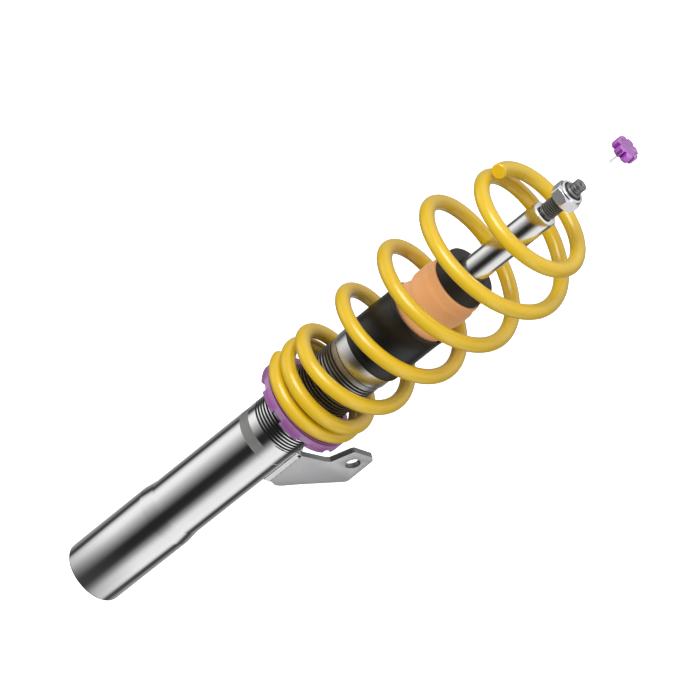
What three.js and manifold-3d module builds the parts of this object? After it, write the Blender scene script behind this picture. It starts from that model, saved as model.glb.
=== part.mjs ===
// Strut-type coilover, millimetres, +Z up along the strut.
// The origin is the centre of the strut's closed foot. The link bracket stands out on the +X side.
import * as THREE from 'three';
import { mergeVertices } from 'three/addons/utils/BufferGeometryUtils.js';
import Module from 'manifold-3d';

const wasm = await Module();
wasm.setup();

// ---- driving dimensions ----
const GAP = 0.3;
const ROUND = 36;
const SMALL_ROUND = 24;

// strut housing
const FOOT_R = 27.5;
const TUBE_R = 25.8;
const FOOT_BORE_R = 24.7;
const TUBE_BORE_R = 23.2;
const TAPER_LOW_Z = 88.6;
const TAPER_HIGH_Z = 102.4;
const TUBE_TOP_Z = 319.8;
const BASE_CAP_H = 5;

// damper internals
const CYLINDER_R = 17;
const CYLINDER_BORE_R = 15.2;
const CYLINDER_LOW_Z = 14;
const CYLINDER_TOP_Z = 288;
const VALVE_BOLT_R = 3;
const GUIDE_TOP_Z = 304;
const SEAL_TOP_Z = 309.2;
const GLAND_R = 26.7;
const GLAND_TOP_Z = 336;

// rod and adjuster
const ROD_R = 11;
const ROD_BORE_R = 3.5;
const ROD_SHOULDER_Z = 526.4;
const STUD_R = 7;
const STUD_TOP_Z = 557.8;
const PISTON_STUD_R = 6;
const PISTON_STUD_LOW_Z = 214;
const PISTON_STUD_TOP_Z = 252;
const PISTON_LOW_Z = 232;
const PISTON_TOP_Z = 250;
const PISTON_NUT_FLAT = 8.5;
const NUT_FLAT = 11;
const NUT_LOW_Z = 543.4;
const NUT_TOP_Z = 555.6;
const NUT_TURN_DEG = 13.6;
const STUB_R = 5.1;
const STUB_TOP_Z = 565.1;
const SOCKET_DEPTH = 13;
const SOCKET_FLAT = 1.3;
const NEEDLE_R = 2.6;

// adjuster knob and its key
const KNOB_LOW_Z = 607.3;
const KNOB_TOP_Z = 615;
const KNOB_R = 9.4;
const KNOB_LOBES = 7;
const KNOB_LOBE_DEPTH = 1.2;
const KEY_FLAT = 1;
const KEY_LOW_Z = 594.8;

// spring perch
const PERCH_BORE_R = 26.3;
const PERCH_R = 42.3;
const PERCH_LOW_Z = 250.6;
const PERCH_TOP_Z = 259.8;
const SPIGOT_R = 31;
const SPIGOT_TOP_Z = 266;
const NOTCHES = 9;
const NOTCH_WIDTH = 10;
const NOTCH_FLOOR_R = 35;
const NOTCH_TOP_Z = 255;
const NOTCH_START_DEG = -99;
const SLIP_RING_R = 40.5;
const SLIP_RING_BORE_R = 31.6;
const SLIP_RING_H = 0.7;

// coil spring, turn 0 is where a coil passes the -Y side
const WIRE_R = 6.1;
const WIRE_SIDES = 8;
const STEPS_PER_TURN = 20;
const SPRING_OFFSET_X = -1.6;
const FIRST_TURN = -2.23;
const LAST_TURN = 4.75;
const SPRING_START_Z = 267.2;
const PITCH_STATIONS = [
  [-2.23, 0.5], [-2.02, 1.5], [-1.88, 17], [-1.35, 19.5], [-1.14, 5.5], [-0.9, 5],
  [-0.65, 19.8], [0.05, 53.2], [3.33, 53.2], [4.5, 0], [4.75, 0],
];
const RADIUS_STATIONS = [[-2.23, 39.6], [-1, 39.7], [-0.25, 41.4], [3.2, 60.2], [3.8, 45.4], [4.75, 44.9]];

// bump stop pack
const SLEEVE_R = 28.4;
const SLEEVE_BORE_R = 27.1;
const SLEEVE_LOW_Z = 333.4;
const SLEEVE_TOP_Z = 387.1;
const STOP_R = 26;
const STOP_BORE_R = 11.8;
const STOP_TOP_Z = 429.3;
const CAP_R = 23.3;
const CAP_BORE_R = 11.5;
const CAP_TOP_Z = 444.5;

// link bracket
const BRACKET_ANGLE = THREE.MathUtils.degToRad(50);
const BRACKET_T = 5.5;
const BRACKET_ROOT_X = 27;
const SADDLE_R = 29.8;
const SADDLE_LOW_Z = 183;
const SADDLE_TOP_Z = 220.4;
const SADDLE_START_DEG = -2;
const SADDLE_END_DEG = 62;
const LINK_HOLE_R = 6;
const LINK_HOLE = [52.8, 230.6];

// ---- materials ----
function material(color, roughness, metalness) {
  return new THREE.MeshStandardMaterial({ color, roughness, metalness });
}
const polished = () => material(0xc9cccd, 0.18, 1);
const steel = () => material(0x9a9da0, 0.4, 1);
const bracketSteel = () => material(0xb4b5b9, 0.45, 0.9);
const purple = () => material(0x8d3f9a, 0.35, 0.8);
const violet = () => material(0xb845cf, 0.3, 0.7);
const yellow = () => material(0xd9a90f, 0.35, 0);
const blackRubber = () => material(0x24242a, 0.6, 0);
const foam = () => material(0xe39a5c, 0.75, 0);
const brass = () => material(0xb08d57, 0.35, 1);
const bronze = () => material(0x8a6a42, 0.5, 0.8);
const nylon = () => material(0x2a2a2c, 0.5, 0);

// ---- geometry helpers ----
// Revolves a closed outline of [radius, height] points about Z.
function revolve(outline, segments = ROUND) {
  let area = 0;
  outline.forEach(([r, z], i) => {
    const [rNext, zNext] = outline[(i + 1) % outline.length];
    area += r * zNext - rNext * z;
  });
  const ordered = area > 0 ? outline : [...outline].reverse();
  const points = ordered.map(([r, z]) => new THREE.Vector2(r, z));
  points.push(points[0].clone());
  const geometry = new THREE.LatheGeometry(points, segments);
  geometry.rotateX(Math.PI / 2);
  return geometry;
}

function tube(innerR, outerR, lowZ, highZ, segments = ROUND) {
  return revolve([[innerR, lowZ], [outerR, lowZ], [outerR, highZ], [innerR, highZ]], segments);
}

// Corners of a round or many-lobed outline, radiusAt gives the radius at an angle.
function roundPoints(corners, radiusAt, centre = [0, 0]) {
  const points = [];
  for (let i = 0; i < corners; i += 1) {
    const angle = ((i + 0.5) * 2 * Math.PI) / corners;
    const r = radiusAt(angle);
    points.push(new THREE.Vector2(centre[0] + r * Math.cos(angle), centre[1] + r * Math.sin(angle)));
  }
  return points;
}

function regularOutline(corners, cornerR) {
  return new THREE.Shape(roundPoints(corners, () => cornerR));
}

function roundHole(radius, corners = SMALL_ROUND, centre = [0, 0]) {
  return new THREE.Path(roundPoints(corners, () => radius, centre).reverse());
}

function extrude(shape, lowZ, highZ) {
  const geometry = new THREE.ExtrudeGeometry(shape, { depth: highZ - lowZ, bevelEnabled: false });
  geometry.translate(0, 0, lowZ);
  return geometry;
}

function hexagon(flat) {
  return regularOutline(6, flat / Math.cos(Math.PI / 6));
}

function toSolid(geometry) {
  const bare = geometry.clone();
  bare.deleteAttribute('normal');
  bare.deleteAttribute('uv');
  const merged = mergeVertices(bare, 1e-4);
  const index = merged.index.array;
  const triangles = [];
  for (let i = 0; i < index.length; i += 3) {
    const [a, b, c] = [index[i], index[i + 1], index[i + 2]];
    if (a !== b && b !== c && a !== c) triangles.push(a, b, c);
  }
  const mesh = new wasm.Mesh({
    numProp: 3,
    vertProperties: new Float32Array(merged.attributes.position.array),
    triVerts: new Uint32Array(triangles),
  });
  return new wasm.Manifold(mesh);
}

function toGeometry(solid) {
  const mesh = solid.getMesh();
  const geometry = new THREE.BufferGeometry();
  geometry.setAttribute('position', new THREE.BufferAttribute(mesh.vertProperties, 3));
  geometry.setIndex(new THREE.BufferAttribute(mesh.triVerts, 1));
  geometry.computeVertexNormals();
  return geometry;
}

// ---- assembly ----
const coilover = new THREE.Group();

function addTo(parent, name, geometry, look) {
  const mesh = new THREE.Mesh(geometry, look);
  mesh.name = name;
  parent.add(mesh);
  return mesh;
}

function buildHousing() {
  const housing = new THREE.Group();
  coilover.add(housing);

  addTo(housing, 'strut_tube', revolve([
    [FOOT_BORE_R, 0],
    [FOOT_R - 0.8, 0],
    [FOOT_R, 0.8],
    [FOOT_R, TAPER_LOW_Z],
    [TUBE_R, TAPER_HIGH_Z],
    [TUBE_R, TUBE_TOP_Z],
    [TUBE_BORE_R, TUBE_TOP_Z],
    [TUBE_BORE_R, TAPER_HIGH_Z],
    [FOOT_BORE_R, TAPER_LOW_Z],
  ]), polished());

  const capR = FOOT_BORE_R - GAP;
  addTo(housing, 'base_cap', revolve([
    [0, 0], [capR, 0], [capR, BASE_CAP_H], [0, BASE_CAP_H],
  ]), steel());

  const valveR = CYLINDER_BORE_R - GAP;
  const valveLowZ = BASE_CAP_H + 1;
  addTo(housing, 'foot_valve_body', revolve([
    [VALVE_BOLT_R + GAP, valveLowZ],
    [20, valveLowZ],
    [20, CYLINDER_LOW_Z - GAP],
    [valveR, CYLINDER_LOW_Z - GAP],
    [valveR, 26],
    [VALVE_BOLT_R + GAP, 26],
  ], SMALL_ROUND), steel());
  addTo(housing, 'foot_valve_disc', tube(VALVE_BOLT_R + GAP, 11, 26.3, 27.3, SMALL_ROUND), brass());
  addTo(housing, 'foot_valve_bolt', revolve([
    [0, valveLowZ + 1],
    [VALVE_BOLT_R, valveLowZ + 1],
    [VALVE_BOLT_R, 27.6],
    [5.5, 27.6],
    [5.5, 31.6],
    [0, 31.6],
  ], SMALL_ROUND), steel());

  addTo(housing, 'pressure_tube', tube(CYLINDER_BORE_R, CYLINDER_R, CYLINDER_LOW_Z, CYLINDER_TOP_Z), steel());

  const guideR = TUBE_BORE_R - GAP;
  const bushR = 13;
  addTo(housing, 'rod_guide', revolve([
    [bushR, CYLINDER_TOP_Z - 6],
    [CYLINDER_BORE_R - GAP, CYLINDER_TOP_Z - 6],
    [CYLINDER_BORE_R - GAP, CYLINDER_TOP_Z + GAP],
    [guideR, CYLINDER_TOP_Z + GAP],
    [guideR, GUIDE_TOP_Z],
    [bushR, GUIDE_TOP_Z],
  ]), steel());
  const bush = tube(ROD_R + 0.15, bushR - GAP, CYLINDER_TOP_Z - 4, GUIDE_TOP_Z - 1);
  addTo(housing, 'guide_bush', bush, bronze());
  addTo(housing, 'rod_seal', tube(ROD_R + GAP, guideR - 1, GUIDE_TOP_Z + GAP, SEAL_TOP_Z), blackRubber());
  addTo(housing, 'gland_nut', revolve([
    [ROD_R + 1.2, SEAL_TOP_Z + GAP],
    [guideR, SEAL_TOP_Z + GAP],
    [guideR, TUBE_TOP_Z + GAP],
    [GLAND_R - 0.6, TUBE_TOP_Z + GAP],
    [GLAND_R, TUBE_TOP_Z + GAP + 0.6],
    [GLAND_R, GLAND_TOP_Z],
    [ROD_R + 1.2, GLAND_TOP_Z],
  ]), polished());

  addTo(housing, 'link_bracket', buildBracket(), bracketSteel());
}

// A curved saddle on the tube, and a flat tab with the link hole that stands out from it.
function buildBracket() {
  const steps = 12;
  const outerArc = [];
  const innerArc = [];
  for (let i = 0; i <= steps; i += 1) {
    const degrees = SADDLE_START_DEG + ((SADDLE_END_DEG - SADDLE_START_DEG) * i) / steps;
    const angle = THREE.MathUtils.degToRad(degrees);
    const radial = new THREE.Vector2(Math.cos(angle), Math.sin(angle));
    outerArc.push(radial.clone().multiplyScalar(SADDLE_R));
    innerArc.push(radial.clone().multiplyScalar(TUBE_R + GAP));
  }
  const saddle = new THREE.Shape([...outerArc, ...innerArc.reverse()]);

  // tab outline as [distance out from the root, height]
  const outline = [
    [4.5, SADDLE_LOW_Z], [7, 182.4], [13.4, 180], [18.4, 181.4], [30.6, 189.1], [45.9, 198],
    [64.4, 208.6], [66.2, 210.8], [65.5, 240.8], [62, 244.2], [43.2, 243.9], [41.2, 241.9],
    [33.6, 225], [29.5, 223.4], [4.5, SADDLE_TOP_Z],
  ];
  const tab = new THREE.Shape(outline.map(([x, y]) => new THREE.Vector2(x, y)));
  tab.holes.push(roundHole(LINK_HOLE_R, SMALL_ROUND, LINK_HOLE));
  const tabGeometry = new THREE.ExtrudeGeometry(tab, { depth: BRACKET_T, bevelEnabled: false });
  tabGeometry.translate(0, 0, -BRACKET_T);
  const outward = new THREE.Vector3(Math.cos(BRACKET_ANGLE), Math.sin(BRACKET_ANGLE), 0);
  const up = new THREE.Vector3(0, 0, 1);
  const facing = new THREE.Vector3().crossVectors(outward, up);
  const place = new THREE.Matrix4().makeBasis(outward, up, facing);
  place.setPosition(BRACKET_ROOT_X, 0, 0);
  tabGeometry.applyMatrix4(place);

  const saddleSolid = toSolid(extrude(saddle, SADDLE_LOW_Z, SADDLE_TOP_Z));
  return toGeometry(saddleSolid.add(toSolid(tabGeometry)));
}

function buildPistonBand() {
  addTo(coilover, 'piston_ring', tube(13.4, 15.1, 238, 245), bronze());
}

function buildRod() {
  const rod = new THREE.Group();
  coilover.add(rod);

  addTo(rod, 'piston_rod', revolve([
    [ROD_BORE_R, PISTON_STUD_LOW_Z],
    [PISTON_STUD_R, PISTON_STUD_LOW_Z],
    [PISTON_STUD_R, PISTON_STUD_TOP_Z],
    [ROD_R, PISTON_STUD_TOP_Z],
    [ROD_R, ROD_SHOULDER_Z - 1],
    [ROD_R - 1, ROD_SHOULDER_Z],
    [STUD_R, ROD_SHOULDER_Z],
    [STUD_R, STUD_TOP_Z - 1],
    [STUD_R - 1, STUD_TOP_Z],
    [ROD_BORE_R, STUD_TOP_Z],
  ]), polished());

  const boreR = PISTON_STUD_R + GAP;
  const pistonR = CYLINDER_BORE_R - 0.6;
  const grooveR = 13.1;
  addTo(rod, 'piston', revolve([
    [boreR, PISTON_LOW_Z],
    [pistonR, PISTON_LOW_Z],
    [pistonR, 237.6],
    [grooveR, 237.6],
    [grooveR, 245.4],
    [pistonR, 245.4],
    [pistonR, PISTON_TOP_Z],
    [boreR, PISTON_TOP_Z],
  ]), steel());
  const shimR = 12;
  const upperShims = tube(boreR, shimR, PISTON_TOP_Z + GAP, PISTON_STUD_TOP_Z - GAP, SMALL_ROUND);
  addTo(rod, 'compression_shims', upperShims, brass());
  const lowerShims = tube(boreR, shimR, PISTON_LOW_Z - 2, PISTON_LOW_Z - GAP, SMALL_ROUND);
  addTo(rod, 'rebound_shims', lowerShims, brass());

  const pistonNut = hexagon(PISTON_NUT_FLAT);
  pistonNut.holes.push(roundHole(boreR));
  addTo(rod, 'piston_nut', extrude(pistonNut, PISTON_LOW_Z - 12, PISTON_LOW_Z - 2 - GAP), steel());
  const reboundStop = tube(ROD_R + GAP, 14.2, 273.6, CYLINDER_TOP_Z - 6 - GAP, SMALL_ROUND);
  addTo(rod, 'rebound_stop', reboundStop, blackRubber());

  // hexagon with a chamfered top and a round collar that holds the locking insert
  const collarR = 10.6;
  const insertBoreR = 9;
  const hexTopZ = 553.4;
  const insertLowZ = 552.6;
  const hex = extrude(hexagon(NUT_FLAT), NUT_LOW_Z, NUT_TOP_Z);
  hex.rotateZ(THREE.MathUtils.degToRad(NUT_TURN_DEG));
  const envelope = toSolid(revolve([
    [STUD_R + GAP, NUT_LOW_Z],
    [NUT_FLAT + 0.4, NUT_LOW_Z],
    [NUT_FLAT + 2, NUT_LOW_Z + 1],
    [NUT_FLAT + 2, hexTopZ - 1.4],
    [collarR + 0.2, hexTopZ],
    [collarR, NUT_TOP_Z],
    [insertBoreR, NUT_TOP_Z],
    [insertBoreR, insertLowZ],
    [STUD_R + GAP, insertLowZ],
  ]));
  addTo(rod, 'top_nut', toGeometry(toSolid(hex).intersect(envelope)), steel());
  const insert = tube(STUD_R + GAP, insertBoreR - GAP, insertLowZ + GAP, NUT_TOP_Z - GAP, SMALL_ROUND);
  addTo(rod, 'nut_insert', insert, nylon());
}

function buildAdjuster() {
  const shaftR = ROD_BORE_R - 0.4;
  const stubLowZ = STUD_TOP_Z + GAP;
  const screw = toSolid(revolve([
    [0, 500],
    [shaftR, 500],
    [shaftR, stubLowZ],
    [STUB_R, stubLowZ],
    [STUB_R, STUB_TOP_Z - 0.6],
    [STUB_R - 0.6, STUB_TOP_Z],
    [0, STUB_TOP_Z],
  ], SMALL_ROUND));
  const socket = toSolid(extrude(hexagon(SOCKET_FLAT), STUB_TOP_Z - SOCKET_DEPTH, STUB_TOP_Z + 1));
  addTo(coilover, 'adjuster_screw', toGeometry(screw.subtract(socket)), steel());

  addTo(coilover, 'metering_needle', revolve([
    [0, 222], [1, 222], [NEEDLE_R, 236], [NEEDLE_R, 499.6], [0, 499.6],
  ], 24), steel());
}

function buildKnob() {
  const lobed = (angle) => KNOB_R + KNOB_LOBE_DEPTH * Math.cos(KNOB_LOBES * angle);
  const outline = roundPoints(KNOB_LOBES * 8, lobed);
  const keyCornerR = KEY_FLAT / Math.cos(Math.PI / 6);
  const lower = new THREE.Shape(outline);
  lower.holes.push(roundHole(keyCornerR + GAP, 16));
  const boreTopZ = KNOB_TOP_Z - 2.7;
  const body = toSolid(extrude(lower, KNOB_LOW_Z, boreTopZ));
  const crown = toSolid(extrude(new THREE.Shape(outline), boreTopZ, KNOB_TOP_Z));
  addTo(coilover, 'adjuster_knob', toGeometry(body.add(crown)), violet());
  addTo(coilover, 'knob_key', extrude(hexagon(KEY_FLAT), KEY_LOW_Z, boreTopZ - GAP), steel());
}

function buildPerch() {
  let collar = toSolid(revolve([
    [PERCH_BORE_R, PERCH_LOW_Z],
    [PERCH_R - 0.8, PERCH_LOW_Z],
    [PERCH_R, PERCH_LOW_Z + 0.8],
    [PERCH_R, PERCH_TOP_Z],
    [SPIGOT_R, PERCH_TOP_Z],
    [SPIGOT_R, SPIGOT_TOP_Z],
    [PERCH_BORE_R, SPIGOT_TOP_Z],
  ]));
  const notchDepth = 10;
  const notchHeight = 8;
  for (let i = 0; i < NOTCHES; i += 1) {
    const notch = new THREE.BoxGeometry(notchDepth, NOTCH_WIDTH, notchHeight);
    notch.translate(NOTCH_FLOOR_R + notchDepth / 2, 0, NOTCH_TOP_Z - notchHeight / 2);
    notch.rotateZ(THREE.MathUtils.degToRad(NOTCH_START_DEG + (360 * i) / NOTCHES));
    collar = collar.subtract(toSolid(notch));
  }
  addTo(coilover, 'perch_collar', toGeometry(collar), purple());
  const ringLowZ = PERCH_TOP_Z + GAP;
  const ring = tube(SLIP_RING_BORE_R, SLIP_RING_R, ringLowZ, ringLowZ + SLIP_RING_H);
  addTo(coilover, 'slip_ring', ring, purple());
}

// Value at a turn, on straight lines between [turn, value] stations.
function alongStations(stations, turn) {
  const last = stations.length - 1;
  let i = 0;
  while (i < last - 1 && turn > stations[i + 1][0]) i += 1;
  const [turnA, valueA] = stations[i];
  const [turnB, valueB] = stations[i + 1];
  const share = THREE.MathUtils.clamp((turn - turnA) / (turnB - turnA), 0, 1);
  return valueA + (valueB - valueA) * share;
}

class SpringLine extends THREE.Curve {
  constructor() {
    super();
    this.arcLengthDivisions = 800;
    this.slices = 700;
    this.heights = [SPRING_START_Z];
    const step = (LAST_TURN - FIRST_TURN) / this.slices;
    for (let i = 0; i < this.slices; i += 1) {
      const middle = FIRST_TURN + (i + 0.5) * step;
      this.heights.push(this.heights[i] + alongStations(PITCH_STATIONS, middle) * step);
    }
  }

  getPoint(t, target = new THREE.Vector3()) {
    const turn = FIRST_TURN + (LAST_TURN - FIRST_TURN) * t;
    const place = t * this.slices;
    const low = Math.min(Math.floor(place), this.slices - 1);
    const z = THREE.MathUtils.lerp(this.heights[low], this.heights[low + 1], place - low);
    const smooth = 0.12;
    const r = (alongStations(RADIUS_STATIONS, turn - smooth)
      + alongStations(RADIUS_STATIONS, turn)
      + alongStations(RADIUS_STATIONS, turn + smooth)) / 3;
    const angle = 2 * Math.PI * turn - Math.PI / 2;
    return target.set(SPRING_OFFSET_X + r * Math.cos(angle), r * Math.sin(angle), z);
  }
}

function buildSpring() {
  const section = regularOutline(WIRE_SIDES, WIRE_R);
  const steps = Math.round((LAST_TURN - FIRST_TURN) * STEPS_PER_TURN);
  const options = { steps, extrudePath: new SpringLine(), bevelEnabled: false };
  const geometry = new THREE.ExtrudeGeometry(section, options);
  addTo(coilover, 'main_spring', geometry, yellow());
}

function buildBumpPack() {
  addTo(coilover, 'dust_sleeve', tube(SLEEVE_BORE_R, SLEEVE_R, SLEEVE_LOW_Z, SLEEVE_TOP_Z), blackRubber());
  const stopLowZ = GLAND_TOP_Z + GAP;
  addTo(coilover, 'bump_stop', revolve([
    [STOP_BORE_R, stopLowZ],
    [STOP_R, stopLowZ],
    [STOP_R, 391],
    [STOP_R - 2.5, 399],
    [STOP_R, 406],
    [STOP_R, 420],
    [STOP_R - 1.5, STOP_TOP_Z],
    [STOP_BORE_R, STOP_TOP_Z],
  ]), foam());
  addTo(coilover, 'bump_cap', revolve([
    [CAP_BORE_R, STOP_TOP_Z + GAP],
    [CAP_R, STOP_TOP_Z + GAP],
    [CAP_R, CAP_TOP_Z - 3],
    [CAP_R - 3, CAP_TOP_Z],
    [CAP_BORE_R, CAP_TOP_Z],
  ]), blackRubber());
}

buildHousing();
buildPistonBand();
buildRod();
buildAdjuster();
buildKnob();
buildPerch();
buildSpring();
buildBumpPack();

export default coilover;
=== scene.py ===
import math

import bmesh
import bpy
from mathutils import Matrix, Vector


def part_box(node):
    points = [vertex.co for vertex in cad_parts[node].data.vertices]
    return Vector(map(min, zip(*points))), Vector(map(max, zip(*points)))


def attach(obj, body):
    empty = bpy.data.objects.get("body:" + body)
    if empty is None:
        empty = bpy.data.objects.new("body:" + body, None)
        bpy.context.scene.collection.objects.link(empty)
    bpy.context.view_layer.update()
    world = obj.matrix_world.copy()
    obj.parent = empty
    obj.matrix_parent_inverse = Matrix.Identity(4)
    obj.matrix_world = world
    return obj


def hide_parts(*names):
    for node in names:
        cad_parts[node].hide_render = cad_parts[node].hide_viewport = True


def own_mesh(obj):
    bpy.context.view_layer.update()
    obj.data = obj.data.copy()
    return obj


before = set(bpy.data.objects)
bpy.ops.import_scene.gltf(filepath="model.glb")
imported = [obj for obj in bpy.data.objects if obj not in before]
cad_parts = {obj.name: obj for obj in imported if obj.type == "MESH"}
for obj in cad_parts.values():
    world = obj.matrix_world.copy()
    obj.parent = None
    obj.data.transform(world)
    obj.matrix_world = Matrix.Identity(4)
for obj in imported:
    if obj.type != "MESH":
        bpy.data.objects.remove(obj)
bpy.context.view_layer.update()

scene = bpy.context.scene
MM = 0.001


def cad_size(node):
    """A turned CAD node's outer radius, lowest and highest height, in millimetres."""
    low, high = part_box(node)
    return high.x / MM, low.z / MM, high.z / MM


# ---------------------------------------------------------------- camera
ELEVATION = math.radians(30.46)
ROLL = math.radians(51.386)
CAMERA_DISTANCE = 3.647
AIM = Vector((-0.0113, 0, 0.3178))
LENS_MM = 241.8


def add_camera():
    """The camera in front of the strut, looking down at it and rolled so that it leans."""
    forward = Vector((0, math.cos(ELEVATION), -math.sin(ELEVATION)))
    level_right = Vector((1, 0, 0))
    level_up = level_right.cross(forward)
    right = math.cos(ROLL) * level_right + math.sin(ROLL) * level_up
    up = math.cos(ROLL) * level_up - math.sin(ROLL) * level_right
    data = bpy.data.cameras.new("camera")
    data.sensor_width = 36
    data.lens = LENS_MM
    data.clip_end = 60
    camera = bpy.data.objects.new("camera", data)
    turn = Matrix((right, up, -forward)).transposed().to_4x4()
    camera.matrix_world = Matrix.Translation(AIM - CAMERA_DISTANCE * forward) @ turn
    scene.collection.objects.link(camera)
    scene.camera = camera


# ---------------------------------------------------------------- materials
MIX_FACTOR, MIX_FIRST, MIX_SECOND, MIX_RESULT = 0, 6, 7, 2      # sockets of a colour mix node
NOISE_LOW, NOISE_HIGH = 0.3, 0.7                                # where most of a noise lies
FLAT_POINTINESS = 0.5


class Shader:
    """A procedural material: one Principled shader and the nodes that feed it."""

    def __init__(self, name, colour, metallic=0.0, roughness=0.5, **constants):
        self.material = bpy.data.materials.new(name)
        self.material.use_nodes = True
        self.nodes = self.material.node_tree.nodes
        self.links = self.material.node_tree.links
        self.surface = self.nodes["Principled BSDF"]
        self.set("Base Color", (*colour, 1))
        self.set("Metallic", metallic)
        self.set("Roughness", roughness)
        for socket, value in constants.items():
            self.set(socket.replace("_", " "), value)
        self.place = self.nodes.new("ShaderNodeTexCoord").outputs["Object"]

    def set(self, socket, value):
        self.surface.inputs[socket].default_value = value

    def feed(self, socket, output):
        self.links.new(output, self.surface.inputs[socket])

    def noise(self, scale, detail=3, roughness=0.55):
        """Noise with so many waves a metre along X, Y and Z, or the same along all three."""
        stretch = self.nodes.new("ShaderNodeMapping")
        stretch.inputs["Scale"].default_value = (
            scale if isinstance(scale, tuple) else (scale, scale, scale))
        self.links.new(self.place, stretch.inputs["Vector"])
        noise = self.nodes.new("ShaderNodeTexNoise")
        noise.inputs["Scale"].default_value = 1
        noise.inputs["Detail"].default_value = detail
        noise.inputs["Roughness"].default_value = roughness
        self.links.new(stretch.outputs["Vector"], noise.inputs["Vector"])
        return noise.outputs["Fac"]

    def ramp(self, factor, stops):
        """A colour or a grey that follows a factor, by (position, colour) stops."""
        node = self.nodes.new("ShaderNodeValToRGB")
        fill_ramp(node.color_ramp, stops)
        self.links.new(factor, node.inputs["Fac"])
        return node.outputs["Color"]

    def range(self, factor, low, high):
        """Spreads the middle of a noise over a range of values."""
        node = self.nodes.new("ShaderNodeMapRange")
        node.inputs["From Min"].default_value = NOISE_LOW
        node.inputs["From Max"].default_value = NOISE_HIGH
        node.inputs["To Min"].default_value = low
        node.inputs["To Max"].default_value = high
        self.links.new(factor, node.inputs["Value"])
        return node.outputs["Result"]

    def edges(self, width):
        """0 on flat stretches and near 1 along outer edges, by the pointiness of the mesh."""
        geometry = self.nodes.new("ShaderNodeNewGeometry")
        node = self.nodes.new("ShaderNodeMapRange")
        node.inputs["From Min"].default_value = FLAT_POINTINESS
        node.inputs["From Max"].default_value = FLAT_POINTINESS + width
        self.links.new(geometry.outputs["Pointiness"], node.inputs["Value"])
        return node.outputs["Result"]

    def along_x(self, low, high, first, second):
        """Goes from the first value to the second between two positions along X, in millimetres."""
        split = self.nodes.new("ShaderNodeSeparateXYZ")
        self.links.new(self.place, split.inputs[0])
        node = self.nodes.new("ShaderNodeMapRange")
        node.inputs["From Min"].default_value = low * MM
        node.inputs["From Max"].default_value = high * MM
        node.inputs["To Min"].default_value = first
        node.inputs["To Max"].default_value = second
        self.links.new(split.outputs["X"], node.inputs["Value"])
        return node.outputs["Result"]

    def mix(self, factor, first, second):
        """Mixes two colours, each a colour or an output."""
        node = self.nodes.new("ShaderNodeMix")
        node.data_type = "RGBA"
        for socket, value in ((MIX_FIRST, first), (MIX_SECOND, second)):
            if isinstance(value, tuple):
                node.inputs[socket].default_value = (*value, 1)
            else:
                self.links.new(value, node.inputs[socket])
        self.links.new(factor, node.inputs[MIX_FACTOR])
        return node.outputs[MIX_RESULT]

    def bump(self, height, distance):
        """Raises the surface by so many metres where the height is 1."""
        node = self.nodes.new("ShaderNodeBump")
        node.inputs["Distance"].default_value = distance
        node.inputs["Strength"].default_value = 1
        self.links.new(height, node.inputs["Height"])
        self.feed("Normal", node.outputs["Normal"])


def fill_ramp(ramp, stops):
    """Sets the stops of a colour ramp, each a position and a colour or a grey."""
    while len(ramp.elements) > 1:
        ramp.elements.remove(ramp.elements[-1])
    for i, (position, colour) in enumerate(stops):
        element = ramp.elements[0] if i == 0 else ramp.elements.new(position)
        element.position = position
        element.color = (*colour, 1) if isinstance(colour, tuple) else (colour, colour, colour, 1)


def turned_metal(name, colour, roughness, rings=900, marks=2.0e-6):
    """Bright metal with fine turning marks around Z."""
    shader = Shader(name, colour, metallic=1, roughness=roughness)
    ring = shader.noise((3, 3, rings), detail=4, roughness=0.7)
    smear = shader.noise(28, detail=3)
    shader.feed("Roughness", shader.range(smear, roughness * 0.75, roughness * 1.3))
    dull = tuple(c * 0.9 for c in colour)
    shader.feed("Base Color", shader.mix(ring, colour, dull))
    shader.bump(ring, marks)
    return shader.material


def plain_metal(name, colour, roughness, metallic=1.0):
    """Machined or cast metal with a fine even grain and brighter edges."""
    shader = Shader(name, colour, metallic=metallic, roughness=roughness)
    grain = shader.noise(900, detail=4, roughness=0.7)
    patches = shader.noise(60, detail=3)
    darker = tuple(c * 0.78 for c in colour)
    lighter = tuple(min(c * 1.2, 1) for c in colour)
    mottled = shader.mix(patches, colour, darker)
    shader.feed("Base Color", shader.mix(shader.edges(0.06), mottled, lighter))
    shader.feed("Roughness", shader.range(patches, roughness * 0.8, roughness * 1.2))
    shader.bump(grain, 6.0e-6)
    return shader.material


def dull_band_painted_sheen():
    """The dull band below the thread, brightened towards the bracket's side by a painted reflection."""
    dull_until, bright_from = -1, 9
    shader = Shader("dull_band_painted_sheen", (0.3, 0.31, 0.3), metallic=0.5, roughness=0.5)
    patches = shader.noise((60, 60, 260), detail=4)
    dull = shader.mix(patches, (0.33, 0.34, 0.33), (0.22, 0.225, 0.215))
    # Painted reflection: from X = -1 mm to 9 mm the band's colour goes to near white, more metallic and
    # glossier.
    painted_sheen = shader.along_x(dull_until, bright_from, 0, 1)
    shader.feed("Base Color", shader.mix(painted_sheen, dull, (0.9, 0.9, 0.9)))
    shader.feed("Metallic", shader.along_x(dull_until, bright_from, 0.5, 1))
    shader.feed("Roughness", shader.along_x(dull_until, bright_from, 0.5, 0.16))
    return shader.material


def bracket_metal(name, light, dark):
    """Satin silver finish on pressed steel, slightly rough."""
    shader = Shader(name, light, metallic=0.85, roughness=0.42)
    grain = shader.noise(1400, detail=4, roughness=0.7)
    patches = shader.noise(35, detail=3)
    shader.feed("Base Color", shader.mix(patches, light, dark))
    shader.feed("Roughness", shader.range(patches, 0.36, 0.5))
    shader.bump(grain, 1.2e-5)
    return shader.material


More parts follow.
